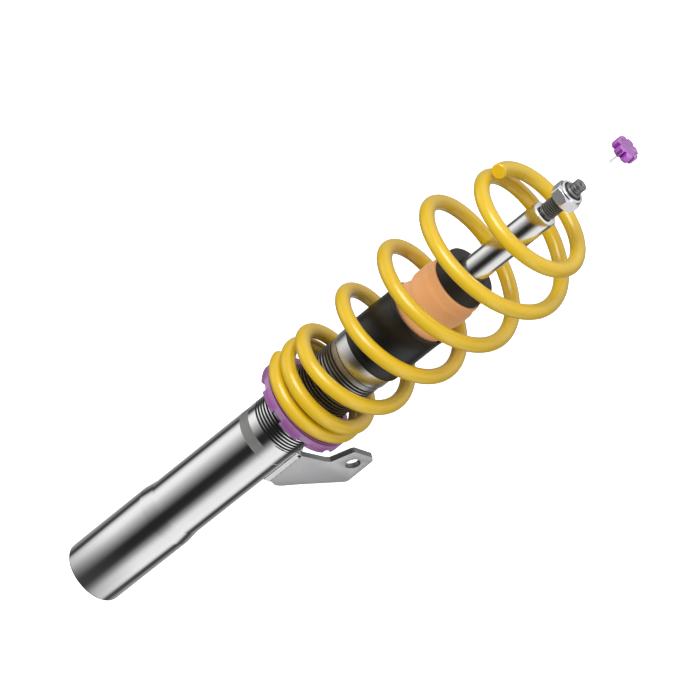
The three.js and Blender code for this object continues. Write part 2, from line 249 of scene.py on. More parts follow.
def anodised(name, colour, dark, roughness, metallic):
    """Dyed aluminium: turning marks under a clear coloured film, paler on its edges."""
    shader = Shader(
        name, colour, metallic=metallic, roughness=roughness, Coat_Weight=0.25, Coat_Roughness=0.15)
    ring = shader.noise((4, 4, 1100), detail=3, roughness=0.7)
    patches = shader.noise(70, detail=3)
    film = shader.mix(patches, colour, dark)
    pale = tuple(c * 0.6 + 0.3 for c in colour)
    shader.feed("Base Color", shader.mix(shader.edges(0.09), film, pale))
    shader.feed("Roughness", shader.range(ring, roughness * 0.8, roughness * 1.3))
    shader.bump(ring, 3.0e-6)
    return shader.material


def powder_coat():
    """Yellow powder coat on the spring wire, glossy with a soft orange-peel surface."""
    shader = Shader(
        "spring_yellow", (0.76, 0.49, 0.003), roughness=0.34, Coat_Weight=0.9, Coat_Roughness=0.22,
        Specular_IOR_Level=0.4)
    peel = shader.noise(520, detail=2, roughness=0.4)
    tone = shader.noise(24, detail=2)
    shader.feed("Base Color", shader.mix(tone, (0.80, 0.525, 0.005), (0.70, 0.445, 0.002)))
    shader.feed("Roughness", shader.range(tone, 0.30, 0.38))
    shader.bump(peel, 3.0e-5)
    return shader.material


def black_rubber(name, colour, roughness):
    """Moulded rubber with a fine grain and a faint grey bloom."""
    shader = Shader(name, colour, roughness=roughness, Specular_IOR_Level=0.5)
    grain = shader.noise(1500, detail=4, roughness=0.7)
    bloom = shader.noise(40, detail=4)
    greyer = tuple(c * 1.7 + 0.001 for c in colour)
    shader.feed("Base Color", shader.mix(bloom, colour, greyer))
    shader.feed("Roughness", shader.range(bloom, roughness * 0.85, roughness * 1.2))
    shader.bump(grain, 2.5e-5)
    return shader.material


def stop_foam():
    """Closed-cell polyurethane foam: matt, finely pored skin, with painted shade in the pores."""
    shader = Shader(
        "stop_foam", (0.86, 0.42, 0.165), roughness=0.72, Sheen_Weight=0.25, Sheen_Roughness=0.5)
    pores = shader.noise(1100, detail=5, roughness=0.75)
    cloud = shader.noise(45, detail=3)
    skin = shader.mix(cloud, (0.90, 0.46, 0.185), (0.80, 0.37, 0.135))
    # Painted shade: the pits of the pore noise are darkened.
    pore_shade = shader.ramp(pores, ((0.3, 0.0), (0.42, 1.0)))
    shader.feed("Base Color", shader.mix(pore_shade, (0.66, 0.28, 0.10), skin))
    shader.bump(pores, 1.2e-4)
    return shader.material


def nylon():
    """Black moulded nylon, slightly cloudy."""
    shader = Shader("nylon", (0.08, 0.08, 0.085), roughness=0.45, Subsurface_Weight=0.05)
    tone = shader.noise(300, detail=3)
    shader.feed("Base Color", shader.mix(tone, (0.06, 0.06, 0.065), (0.12, 0.12, 0.125)))
    shader.bump(tone, 2.0e-5)
    return shader.material


# ---------------------------------------------------------------- mesh helpers
SHARP = math.radians(32)  # faces that meet at more than this keep a crisp edge between them
CORNER_SHARE = 0.48      # of a side of an outline, the most that one rounded corner takes


def finished(name, mesh, material):
    """Merges the seams of a mesh, points its faces out and links it as an object."""
    work = bmesh.new()
    work.from_mesh(mesh)
    bmesh.ops.remove_doubles(work, verts=work.verts, dist=1.0e-6)
    bmesh.ops.dissolve_degenerate(work, edges=work.edges, dist=1.0e-7)
    bmesh.ops.recalc_face_normals(work, faces=work.faces)
    work.to_mesh(mesh)
    work.free()
    mesh.polygons.foreach_set("use_smooth", [True] * len(mesh.polygons))
    mesh.set_sharp_from_angle(angle=SHARP)
    mesh.materials.clear()
    mesh.materials.append(material)
    piece = bpy.data.objects.new(name, mesh)
    scene.collection.objects.link(piece)
    return piece


def from_points(name, points, faces, material):
    """A piece from points in millimetres and the faces between them."""
    mesh = bpy.data.meshes.new(name)
    mesh.from_pydata([Vector(p) * MM for p in points], [], faces)
    return finished(name, mesh, material)


def bevelled(piece, width, segments):
    """The piece with its edges rounded, width in millimetres."""
    bevel = piece.modifiers.new("bevel", "BEVEL")
    bevel.width = width * MM
    bevel.segments = segments
    bevel.limit_method = "ANGLE"
    bevel.angle_limit = math.radians(30)
    graph = bpy.context.evaluated_depsgraph_get()
    mesh = bpy.data.meshes.new_from_object(piece.evaluated_get(graph))
    piece.modifiers.clear()
    piece.data = mesh
    mesh.polygons.foreach_set("use_smooth", [True] * len(mesh.polygons))
    mesh.set_sharp_from_angle(angle=SHARP)
    return piece


def swept_faces(rings, sides):
    """The faces of a bar of so many rings of points, one after another, closed at both ends."""
    faces = []
    for i in range(rings - 1):
        for k in range(sides):
            a, b = i * sides + k, i * sides + (k + 1) % sides
            faces.append((a, b, b + sides, a + sides))
    faces += [tuple(range(sides))[::-1], tuple((rings - 1) * sides + k for k in range(sides))]
    return faces


def recoat(piece, material, chosen):
    """Gives a second finish to the faces that are chosen by their centre, in millimetres, and normal."""
    piece.data.materials.append(material)
    index = len(piece.data.materials) - 1
    for face in piece.data.polygons:
        if chosen(face.center / MM, face.normal):
            face.material_index = index


def rounded(corners, radius=0.5, steps=3, closed=True):
    """An outline with its corners rounded. A third number on a corner is its own radius."""
    count = len(corners)
    outline = []
    for i, corner in enumerate(corners):
        here = Vector(corner[:2])
        own = corner[2] if len(corner) > 2 else radius
        if own == 0 or (not closed and i in (0, count - 1)):
            outline.append(tuple(here))
            continue
        before = Vector(corners[i - 1][:2]) - here
        after = Vector(corners[(i + 1) % count][:2]) - here
        half = before.angle(after) / 2
        reach = min(own / math.tan(half), before.length * CORNER_SHARE, after.length * CORNER_SHARE)
        start = here + before.normalized() * reach
        end = here + after.normalized() * reach
        for step in range(steps + 1):
            u = step / steps
            outline.append(tuple((1 - u) ** 2 * start + 2 * u * (1 - u) * here + u * u * end))
    return outline


def even_angles(columns):
    """The angles of so many equal columns round a full turn, with both ends."""
    return [2 * math.pi * i / columns for i in range(columns + 1)]


def turned(name, profile, material, columns=96, closed=True, angles=None):
    """A piece turned about Z from (radius, height) points, any of which may be a function of the angle.
    A closed profile goes round a bore. An open one starts and ends on the axis."""
    angles = angles or even_angles(columns)
    rows = len(profile)
    points, faces = [], []
    for angle in angles:
        for point in profile:
            r, z = point(angle) if callable(point) else point
            points.append((r * math.cos(angle), r * math.sin(angle), z))
    spans = rows if closed else rows - 1
    for column in range(len(angles) - 1):
        for i in range(spans):
            a = column * rows + i
            b = column * rows + (i + 1) % rows
            faces.append((a, b, b + rows, a + rows))
    return from_points(name, points, faces, material)


def thread(low, high, body, crest, root, pitch, fade, flat=0.36):
    """Profile points of a right-hand thread between two heights, fading into a plain body at both ends.
    The flat of the crest is given as a share of the pitch."""
    flank = 0.22
    shape = ((0.0, root), (1 - flat - 2 * flank, root), (1 - flat - flank, crest), (1 - flank, crest))
    turns = math.ceil((high - low) / pitch)

    def point_at(turn, share, radius):
        def point(angle):
            z = low + pitch * (turn + share + angle / (2 * math.pi))
            z = min(max(z, low), high)
            depth = min(min(z - low, high - z) / fade, 1)
            return body + (radius - body) * depth, z
        return point

    return [point_at(turn, share, radius) for turn in range(-2, turns + 1) for share, radius in shape]


def ride(piece, body, slot, *nodes):
    """Puts a piece on its body, in place of its CAD nodes."""
    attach(piece, body)
    if nodes:
        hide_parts(*nodes)
    return piece


# ---------------------------------------------------------------- housing
TUBE_R = 25.8
TAPER_LOW = 88.6
TAPER_HIGH = 102.4
BAND_LOW = 206.8
BAND_HIGH = 216.8
THREAD_LOW = 224
UPPER_THREAD_LOW = 258   # above this height the thread's crests are duller
PLAIN_RIM = 5.2          # the plain length between the thread and the tube's top
THREAD_PITCH = 3.0
THREAD_DEPTH = 1.3
TUBE_BORE = 23.2
BAND_DEPTH = 0.15
FOOT_WALL = 2.8


def add_tube(polish, band, groove, crest):
    """The strut tube: large foot, taper, dull band, then the thread up to a plain rim."""
    foot_r, low, high = cad_size("strut_tube")
    outside = rounded([
        (foot_r, low, 1.2),
        (foot_r, TAPER_LOW, 6),
        (TUBE_R, TAPER_HIGH, 6),
        (TUBE_R, BAND_LOW, 0),
    ], steps=5, closed=False)
    outside[0:1] = [
        (foot_r - 1.4, low),
        (foot_r - 0.5, low + 0.25),
        (foot_r - 0.12, low + 0.7),
        (foot_r, low + 1.4),
    ]
    profile = outside + [
        (TUBE_R - BAND_DEPTH, BAND_LOW + 0.1),
        (TUBE_R - BAND_DEPTH, BAND_HIGH - 0.1),
        (TUBE_R, BAND_HIGH),
        (TUBE_R, THREAD_LOW - 0.3),
    ]
    profile += thread(
        THREAD_LOW, high - PLAIN_RIM, TUBE_R, TUBE_R, TUBE_R - THREAD_DEPTH, THREAD_PITCH, fade=0.6)
    profile += [
        (TUBE_R, high - 0.7),
        (TUBE_R - 0.7, high),
        (TUBE_BORE, high),
        (TUBE_BORE, TAPER_HIGH),
        (foot_r - FOOT_WALL, TAPER_LOW),
        (foot_r - FOOT_WALL, low + 0.5),
        (foot_r - FOOT_WALL + 0.5, low),
    ]
    tube = turned("strut_tube_polished", profile, polish, columns=128)
    bore_side = TUBE_BORE + 0.5
    crest_side = TUBE_R - 0.08
    recoat(tube, band, lambda at, _: at.xy.length > bore_side and BAND_LOW < at.z < BAND_HIGH)
    # Painted shade: the thread's flanks and roots are given the near-black finish.
    recoat(tube, groove, lambda at, _: bore_side < at.xy.length < crest_side and at.z > THREAD_LOW)
    recoat(tube, crest, lambda at, _: at.xy.length >= crest_side and at.z > UPPER_THREAD_LOW)
    ride(tube, "housing", "polished_steel", "strut_tube")


def add_base_cap(material):
    """The pressed cap that closes the tube's foot."""
    r, low, high = cad_size("base_cap")
    cap = turned("base_cap_pressed", rounded([
        (0, low + 1.2, 0),
        (9, low + 1.2, 2),
        (11, low + 0.3, 2),
        (r - 1.2, low + 0.3, 0.5),
        (r, low + 1.4, 0.4),
        (r, high, 0.4),
        (0, high, 0),
    ], closed=False), material, columns=72, closed=False)
    ride(cap, "housing", "plain_steel", "base_cap")


def add_gland(polish):
    """The collar that closes the tube's top around the rod."""
    r, low, high = cad_size("gland_nut")
    tube_high = cad_size("strut_tube")[2]
    rod_r = cad_size("piston_rod")[0]
    bore = rod_r + 1.2
    collar_low = tube_high + 0.3
    gland = turned("gland_collar", rounded([
        (bore, low, 0.3),
        (TUBE_BORE - 0.3, low, 0.6),
        (TUBE_BORE - 0.3, collar_low, 0.1),
        (r - 0.4, collar_low, 0.2),
        (r, collar_low + 0.6, 0.4),
        (r, high, 0.8),
        (bore, high, 0.6),
    ]), polish, columns=96)
    ride(gland, "housing", "polished_steel", "gland_nut")


BRACKET_ANGLE = math.radians(50)
BRACKET_T = 5.5
BRACKET_ROOT_X = 27
LINK_HOLE = (52.8, 230.6)
LINK_HOLE_R = 6
SADDLE_R = 29.8
SADDLE_LOW = 183
SADDLE_HIGH = 220.4
# Corners of the tab: distance out from the bracket's root, height, radius of the corner.
TAB_OUTLINE = (
    (1.5, SADDLE_LOW, 0.5), (7, 182.4, 4), (13.4, 180, 3), (18.4, 181.4, 4), (30.6, 189.1, 30),
    (45.9, 198, 30), (64.4, 208.6, 2), (66.2, 210.8, 2), (65.5, 240.8, 1.5), (62, 244.2, 1.5),
    (43.2, 243.9, 1.8), (41.2, 241.9, 1.8), (33.6, 225, 1.2), (29.5, 223.4, 3),
    (1.5, SADDLE_HIGH - 0.4, 0.5),
)


def ring_spline(curve, points):
    """Adds a closed line through points in millimetres to a flat curve."""
    spline = curve.splines.new("POLY")
    spline.use_cyclic_u = True
    spline.points.add(len(points) - 1)
    for target, (x, y) in zip(spline.points, points):
        target.co = (x * MM, y * MM, 0, 1)


def add_bracket(material, cut_edge):
    """The flat tab with its round hole, darker on its cut edges, and the saddle behind it."""
    edge = 0.55
    curve = bpy.data.curves.new("tab_outline", "CURVE")
    curve.dimensions = "2D"
    curve.fill_mode = "BOTH"
    ring_spline(curve, rounded(TAB_OUTLINE, steps=5))
    hole = [(LINK_HOLE[0] + LINK_HOLE_R * math.cos(a), LINK_HOLE[1] - LINK_HOLE_R * math.sin(a))
            for a in even_angles(48)[:-1]]
    ring_spline(curve, hole)
    curve.extrude = (BRACKET_T / 2 - edge) * MM
    curve.bevel_depth = edge * MM
    curve.bevel_resolution = 2
    curve.offset = -edge * MM
    flat = bpy.data.objects.new("tab_outline", curve)
    scene.collection.objects.link(flat)
    bpy.context.view_layer.update()
    graph = bpy.context.evaluated_depsgraph_get()
    mesh = bpy.data.meshes.new_from_object(flat.evaluated_get(graph))
    bpy.data.objects.remove(flat)
    outward = Vector((math.cos(BRACKET_ANGLE), math.sin(BRACKET_ANGLE), 0))
    up = Vector((0, 0, 1))
    facing = outward.cross(up)
    place = Matrix((outward, up, facing)).transposed().to_4x4()
    root = Vector((BRACKET_ROOT_X, 0, 0)) - facing * BRACKET_T / 2
    mesh.transform(Matrix.Translation(root * MM) @ place)
    tab = finished("link_tab", mesh, material)
    recoat(tab, cut_edge, lambda _, normal: abs(normal.dot(facing)) < 0.3)
    ride(tab, "housing", "bracket_steel", "link_bracket")

    ride(fitted_saddle(material), "housing", "bracket_steel")


def fitted_saddle(material):
    """The curved foot of the bracket, fitted round the tube."""
    inner = TUBE_R + 0.1
    steps = 24
    start, end = math.radians(8), math.radians(62)
    section = ((inner, SADDLE_LOW), (SADDLE_R, SADDLE_LOW), (SADDLE_R, SADDLE_HIGH), (inner, SADDLE_HIGH))
    points = []
    for i in range(steps + 1):
        angle = start + (end - start) * i / steps
        points += [(r * math.cos(angle), r * math.sin(angle), z) for r, z in section]
    faces = swept_faces(steps + 1, len(section))
    return bevelled(from_points("bracket_saddle", points, faces, material), 0.9, segments=3)


def bead(name, path, radius, material):
    """A weld bead with ripples along a path of points."""
    sides = 10
    points = []
    count = len(path)
    for i, here in enumerate(path):
        ahead = Vector(path[min(i + 1, count - 1)]) - Vector(path[max(i - 1, 0)])
        across = ahead.cross(Vector((here[0], here[1], 0))).normalized()
        outward = across.cross(ahead).normalized()
        end_taper = min(1, 0.35 + 0.35 * min(i, count - 1 - i))
        r = radius * end_taper * (1 + 0.16 * math.sin(i * 2.1))
        for k in range(sides):
            turn = 2 * math.pi * k / sides
            around = math.cos(turn) * outward + math.sin(turn) * across
            points.append(tuple(Vector(here) + r * around))
    return from_points(name, points, swept_faces(count, sides), material)


def add_front_weld(material, crevice_shade):
    """The smooth weld that fills the corner between the tube and the tab's front face, coloured near
    white as a painted highlight, with painted shadow in the crevices beside it.
    """
    outward = Vector((math.cos(BRACKET_ANGLE), math.sin(BRACKET_ANGLE), 0))
    facing = outward.cross(Vector((0, 0, 1)))
    low, high = SADDLE_LOW - 0.6, SADDLE_HIGH + 0.6
    inner_edge, outer_edge = -1.4, 4.3      # distances out along the tab, painted shadow beyond them
    open_out, open_high = 2.6, high - 2.4   # where the weld's upper end has painted shadow as well
    steps = 48
    points = []
    for i in range(steps + 1):
        z = low + (high - low) * i / steps
        ragged = 0.3 * math.sin(i * 0.9) + 0.22 * math.sin(i * 2.3 + 1)
        end_taper = min(1, 0.2 + 0.4 * min(i, steps - i))
        # Distance out along the tab, and distance in front of its face.
        section = (
            (-3.5, -2.4), (-1.9, -0.7), (-1.25, -0.02), (-0.9, 0.12), (1.5, 0.34 + 0.05 * ragged),
            (4.0 + ragged, 0.56), (4.3 + ragged, 0.5), (5.2 + ragged, 0.1), (5.3 + ragged, -0.6),
        )
        for out, forward in section:
            offset = out * outward + min(forward, forward * end_taper) * facing
            points.append((BRACKET_ROOT_X + offset.x, offset.y, z))
    weld = from_points("weld_front", points, swept_faces(steps + 1, len(section)), material)

    # Painted shadow: faces beyond the weld's edges, and at its open upper end, get the near-black finish.
    def in_crevice(at, _):
        out = Vector((at.x - BRACKET_ROOT_X, at.y, 0)).dot(outward)
        return out > outer_edge or out < inner_edge or (at.z > open_high and out > open_out)

    recoat(weld, crevice_shade, in_crevice)
    ride(weld, "housing", "bracket_steel")


def add_back_weld(material):
    """A weld bead where the saddle's far end meets the tube."""
    angle = math.radians(63.5)
    r = TUBE_R + 0.5
    low, spacing = SADDLE_LOW + 2, 0.9
    path = [(r * math.cos(angle), r * math.sin(angle), low + spacing * i) for i in range(39)]
    ride(bead("weld_back", path, 1.5, material), "housing", "bracket_steel")


# ---------------------------------------------------------------- perch
NOTCHES = 9
NOTCH_WIDTH = 10
NOTCH_FLOOR = 37         # the radius at the bottom of a notch
NOTCH_TOP = 254.2
NOTCH_START = -99        # degrees, the middle of the first notch
PERCH_BORE = 26.4
SPIGOT_R = 31
RIM_HIGH = 259.8


def add_perch(purple):
    """The perch ring: notches in its lower rim, and a spigot inside the spring."""
    rim_r, low, high = cad_size("perch_collar")
    half = math.asin(NOTCH_WIDTH / 2 / rim_r)
    centres = [math.radians(NOTCH_START + 360 * i / NOTCHES) for i in range(NOTCHES)]
    slope = 0.006
    full_turn = 2 * math.pi
    edges = [(c + side * half + nudge * slope) % full_turn
             for c in centres for side in (-1, 1) for nudge in (-1, 1)]
    angles = sorted(set(even_angles(144) + edges))

    def in_notch(angle):
        return any(abs((angle - c + math.pi) % full_turn - math.pi) < half for c in centres)

    def rim(r, z, floor_r=NOTCH_FLOOR):
        return lambda angle: (floor_r, z) if in_notch(angle) else (r, z)

    profile = [
        (PERCH_BORE, low + 0.6),
        (PERCH_BORE + 0.6, low),
        (NOTCH_FLOOR - 0.5, low),
        rim(rim_r - 0.9, low),
        rim(rim_r - 0.3, low + 0.25),
        rim(rim_r, low + 0.8),
        rim(rim_r, NOTCH_TOP - 0.1),
        rim(rim_r, NOTCH_TOP, rim_r - 0.4),
        (rim_r, NOTCH_TOP + 0.4),
        (rim_r, RIM_HIGH - 0.8),
        (rim_r - 0.25, RIM_HIGH - 0.25),
        (rim_r - 0.8, RIM_HIGH),
        (SPIGOT_R + 0.3, RIM_HIGH),
        (SPIGOT_R, RIM_HIGH + 0.3),
        (SPIGOT_R, high - 0.6),
        (SPIGOT_R - 0.6, high),
        (PERCH_BORE + 0.6, high),
        (PERCH_BORE, high - 0.6),
    ]
    perch = turned("perch_ring", profile, purple, angles=angles)
    ride(perch, "collar", "perch_purple", "perch_collar")


def add_slip_ring(purple):
    """The thin washer between the perch and the spring."""
    r, low, high = cad_size("slip_ring")
    ring = turned("slip_washer", rounded([
        (SPIGOT_R + 0.6, low), (r, low), (r, high), (SPIGOT_R + 0.6, high),
    ], radius=0.25), purple, columns=96)
    ride(ring, "spring_seat", "perch_purple", "slip_ring")


# ---------------------------------------------------------------- spring
WIRE_R = 6.1
SPRING_X = -1.6          # the coil stands a little off the strut's centre line
FIRST_TURN = -2.23
LAST_TURN = 4.75
SPRING_START = 267.2     # the height of the wire's middle at its lower end
# Millimetres of rise a turn, and the coil's radius, by turn.
PITCHES = (
    (-2.23, 0.5), (-2.02, 1.5), (-1.88, 17), (-1.35, 19.5), (-1.14, 5.5), (-0.9, 5),
    (-0.65, 19.8), (0.05, 53.2), (3.33, 53.2), (4.5, 0), (4.75, 0),
)
RADII = ((-2.23, 39.6), (-1, 39.7), (-0.25, 41.4), (3.2, 60.2), (3.8, 45.4), (4.75, 44.9))


def along(stations, turn):
    """The value at a turn, on straight lines between (turn, value) stations."""
    for (turn_a, a), (turn_b, b) in zip(stations, stations[1:]):
        if turn <= turn_b:
            break
    share = min(max((turn - turn_a) / (turn_b - turn_a), 0), 1)
    return a + (b - a) * share


def spring_line(per_turn):
    """Points along the middle of the wire, with a coil passing the -Y side at turn 0."""
    steps = round((LAST_TURN - FIRST_TURN) * per_turn)
    step = (LAST_TURN - FIRST_TURN) / steps
    smooth = 0.12
    z = SPRING_START
    line = []
    for i in range(steps + 1):
        turn = FIRST_TURN + i * step
        if i:
            z += along(PITCHES, turn - step / 2) * step
        r = sum(along(RADII, turn + offset) for offset in (-smooth, 0, smooth)) / 3
        angle = 2 * math.pi * turn - math.pi / 2
        line.append(Vector((SPRING_X + r * math.cos(angle), r * math.sin(angle), z)))
    return line


def add_spring(yellow):
    """The coil spring, with both ends of its wire chamfered."""
    line = spring_line(per_turn=90)
    sides = 32
    chamfer = 0.7
    first = (line[1] - line[0]).normalized()
    last = (line[-1] - line[-2]).normalized()
    lower_end = [line[0], line[0] + first * chamfer]
    upper_end = [line[-1] - last * chamfer, line[-1]]
    centres = lower_end + line[1:-1] + upper_end
    scales = [1 - chamfer / WIRE_R] + [1] * (len(centres) - 2) + [1 - chamfer / WIRE_R]
    points = []
    for i, (centre, scale) in enumerate(zip(centres, scales)):
        ahead = (centres[min(i + 1, len(centres) - 1)] - centres[max(i - 1, 0)]).normalized()
        outward = Vector((centre.x - SPRING_X, centre.y, 0))
        outward = (outward - outward.dot(ahead) * ahead).normalized()
        above = ahead.cross(outward)
        for k in range(sides):
            turn = 2 * math.pi * k / sides
            around = math.cos(turn) * outward + math.sin(turn) * above
            points.append(centre + WIRE_R * scale * around)
    spring = from_points("spring_coil", points, swept_faces(len(centres), sides), yellow)
    ride(spring, "spring_seat", "spring_yellow", "main_spring")
    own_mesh(spring)


# ---------------------------------------------------------------- bump stop pack
def add_bump_pack(sleeve_rubber, foam, cap_rubber):
    """The dust sleeve, the waisted foam stop above it and the rubber cap on top."""
    r, low, high = cad_size("dust_sleeve")
    wall = 1.3
    sleeve = turned("dust_sleeve_rubber", rounded([
        (r - wall, low, 0.4),
        (r, low, 0.6),
        (r, low + 4, 0.5),
        (r - 0.25, low + 4.6, 0.5),
        (r - 0.25, high - 4, 1),
        (r, high - 3.2, 1),
        (r, high, 0.7),
        (r - wall, high, 0.5),
    ]), sleeve_rubber, columns=96)
    ride(sleeve, "bump_pack", "black_rubber", "dust_sleeve")

    # A bead at the foot up to 391, a waist at 399, and a longer bead up to 419.
    r, low, high = cad_size("bump_stop")
    bore = cad_size("piston_rod")[0] + 0.8
    stop = turned("bump_stop_foam", rounded([
        (bore, low, 0.6),
        (r - 0.6, low, 1),
        (r - 0.6, 384, 2),
        (r, 388, 2),
        (r, 391, 3),
        (r - 2.5, 399, 6),
        (r - 0.1, 406, 4),
        (r, 412, 4),
        (r, 419, 3),
        (r - 1.2, 422.5, 3),
        (r - 1.4, high, 1.5),
        (bore, high, 0.8),
    ], steps=6), foam, columns=96)
    ride(stop, "bump_pack", "stop_foam", "bump_stop")

    r, low, high = cad_size("bump_cap")
    cap = turned("bump_cap_rubber", rounded([
        (bore - 0.3, low, 0.3),
        (r, low, 0.6),
        (r, high, 3.2),
        (bore + 2.5, high, 0.8),
        (bore - 0.3, high - 1.4, 0.6),
    ], steps=7), cap_rubber, columns=96)
    ride(cap, "bump_pack", "black_rubber", "bump_cap")


# ---------------------------------------------------------------- rod end
ROD_SHOULDER = 526.4
STUD_R = 7
STUD_THREAD_PITCH = 2.0
STUD_THREAD_DEPTH = 1.0
ROD_BORE = 3.5
PISTON_SEAT_R = 6
PISTON_SEAT_HIGH = 252


def add_rod(chrome, dark, groove):
    """The hollow rod: thinner where it carries the piston, chromed above, then the threaded stud."""
    r, low, high = cad_size("piston_rod")
    profile = rounded([
        (ROD_BORE, low, 0.2),
        (PISTON_SEAT_R, low, 0.5),
        (PISTON_SEAT_R, PISTON_SEAT_HIGH, 0.3),
        (r, PISTON_SEAT_HIGH, 0.5),
        (r, ROD_SHOULDER - 1.1, 0.2),
        (r - 1.1, ROD_SHOULDER, 0.2),
        (STUD_R - 1.1, ROD_SHOULDER, 0.2),
        (STUD_R - 1.1, ROD_SHOULDER + 0.9, 0.2),
        (STUD_R, ROD_SHOULDER + 1.5, 0),
    ], steps=3, closed=False)
    profile += thread(
        ROD_SHOULDER + 1.5, high - 1.2, STUD_R, STUD_R + 0.05, STUD_R - STUD_THREAD_DEPTH,
        STUD_THREAD_PITCH, fade=1.0, flat=0.16)
    profile += [(STUD_R - 1.2, high), (ROD_BORE + 0.3, high), (ROD_BORE, high - 0.3)]
    rod = turned("rod_chromed", profile, chrome, columns=96)
    stud_low = ROD_SHOULDER + 0.3

    def on_stud(at, _):
        return at.z > stud_low and at.xy.length < STUD_R + 0.3

    def in_groove(at, _):
        return stud_low < at.z < high - 1 and ROD_BORE + 1 < at.xy.length < STUD_R - 0.5

    recoat(rod, dark, on_stud)
    # Painted shade: the stud's thread flanks and roots are given the near-black finish.
    recoat(rod, groove, in_groove)
    ride(rod, "rod", "polished_steel", "piston_rod")


NUT_FLAT = 11            # half the width across flats
NUT_TURN = math.radians(13.6)


def hexagon_radius(flat, angle, turn=0.0):
    """The radius of a hexagon of that half width at an angle. A corner is at turn below -Y."""
    sector = math.pi / 3
    offset = (angle + math.pi / 2 - turn + sector / 2) % sector - sector / 2
    return flat / math.cos(sector / 2 - abs(offset))


def add_nut(steel):
    """The top nut: a hexagon chamfered at both ends, with a round collar for its insert."""
    _, low, high = cad_size("top_nut")
    hex_high = high - 2.2
    collar_r = 10.5
    insert_bore = 9
    lip_bore = 8.3
    bore = STUD_R + 0.3

    def chamfered(cone_r, z):
        return lambda angle: (min(hexagon_radius(NUT_FLAT, angle, NUT_TURN), cone_r), z)

    profile = [(bore, low + 0.6), (bore + 0.8, low), (NUT_FLAT - 0.6, low)]
    profile += [chamfered(NUT_FLAT - 0.6 + 2.4 * u / 6, low + 1.3 * u / 6) for u in range(1, 7)]
    profile += [
        chamfered(NUT_FLAT + 1.8 - 2.2 * u / 8, hex_high - 1.5 + 1.5 * u / 8) for u in range(9)]
    profile += [
        (collar_r + 0.1, hex_high),
        (collar_r, hex_high + 0.3),
        (collar_r, high - 1.0),
        (collar_r - 0.25, high - 0.5),
        (collar_r - 0.7, high - 0.15),
        (collar_r - 1.2, high),
        (lip_bore + 0.3, high),
        (lip_bore, high - 0.3),
        (insert_bore, high - 0.7),
        (insert_bore, high - 3),
        (bore, high - 3),
    ]
    nut = turned("nut_hexagon", profile, steel, columns=144)
    ride(nut, "rod", "plain_steel", "top_nut")


def add_insert(material):
    """The nylon locking ring in the nut's collar."""
    r, low, high = cad_size("nut_insert")
    insert = turned("nut_locking_ring", rounded([
        (STUD_R + 0.3, low, 0.2),
        (r, low, 0.2),
        (r, high - 1.0, 0.4),
        (STUD_R + 0.3, high - 1.4, 0.4),
    ]), material, columns=72)
    ride(insert, "rod", "nylon", "nut_insert")


SOCKET_FLAT = 1.3        # half the width across flats
SOCKET_DEPTH = 13


def add_adjuster(steel):
    """The adjuster screw: a shaft in the rod's bore and a ringed stub with a hexagon socket."""
    r, low, high = cad_size("adjuster_screw")
    shaft = ROD_BORE - 0.4
    stub_low = cad_size("piston_rod")[2] + 0.3

    def socket(z, extra=0.0):
        return lambda angle: (hexagon_radius(SOCKET_FLAT, angle) + extra, z)

    profile = rounded([
        (0, low, 0),
        (shaft, low, 0.4),
        (shaft, stub_low, 0.1),
        (r - 0.1, stub_low, 0.3),
        (r, stub_low + 3.2, 0.2),
        (r - 0.45, stub_low + 3.6, 0.2),
        (r - 0.45, stub_low + 4.3, 0.2),
        (r, stub_low + 4.7, 0.2),
        (r, high - 0.7, 0),
    ], closed=False)
    profile += [(r - 0.25, high - 0.2), (r - 0.8, high), socket(high, 0.7), socket(high - 0.7)]
    profile += [socket(high - SOCKET_DEPTH), (0, high - SOCKET_DEPTH - 0.6)]
    stub = turned("adjuster_stub", profile, steel, columns=72, closed=False)
    ride(stub, "adjuster", "plain_steel", "adjuster_screw")


# ---------------------------------------------------------------- knob
KNOB_LOBES = 7
KNOB_R = 10


def add_knob(violet, paler_top_violet):
    """The cupped knob, with deep grooves between its lobes and fine ribs on them."""
    _, low, high = cad_size("adjuster_knob")
    key_bore = 1.5
    roof = high - 2.7
    groove_share = 4.4
    groove_sharpness = 2.4
    rib_height = 0.12

    def lobed(inset, z, depth=0.6):
        def point(angle):
            wave = math.cos(KNOB_LOBES * angle)
            groove = 1 - max(0, -wave) ** groove_sharpness * groove_share
            ribs = rib_height * math.cos(3 * KNOB_LOBES * angle) * max(0, wave + 0.3)
            return KNOB_R + depth * groove + ribs - inset, z
        return point

    profile = [
        (0, roof),
        (key_bore, roof),
        (key_bore, low + 0.3),
        (key_bore + 0.3, low),
        (KNOB_R - 2.2, low),
        lobed(0.9, low, 0.5),
        lobed(0.25, low + 0.25),
        lobed(0, low + 0.8),
        lobed(0, high - 1.1),
        lobed(0.2, high - 0.5),
        lobed(0.75, high - 0.1, 0.55),
        lobed(1.3, high, 0.5),
        (KNOB_R - 2.6, high),
        (KNOB_R - 3.0, high - 0.25),
        (0, high - 0.25),
    ]
    knob = turned("knob_ribbed", profile, violet, columns=196, closed=False)
    # The upward-facing top face gets a paler, less saturated and less metallic violet.
    recoat(knob, paler_top_violet, lambda at, normal: normal.z > 0.95 and at.z > roof + 0.5)
    ride(knob, "knob", "knob_violet", "adjuster_knob")


def add_key(steel):
    """The thin hexagon key under the knob."""
    _, low, high = cad_size("knob_key")
    flat = 1.0

    def side(z, inset=0.0):
        return lambda angle: (hexagon_radius(flat, angle) - inset, z)

    key = turned("knob_key_bar", [(0, low), side(low, 0.35), side(low + 0.35), side(high), (0, high)],
                 steel, columns=48, closed=False)
    ride(key, "knob", "plain_steel", "knob_key")


# ---------------------------------------------------------------- inner parts
def dress_inner_parts(finishes):
    """Materials for the CAD parts inside the tube, which keep their own shape."""
    for node, (material, slot) in finishes.items():
        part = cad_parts[node]
        part.data.materials.clear()
        part.data.materials.append(material)


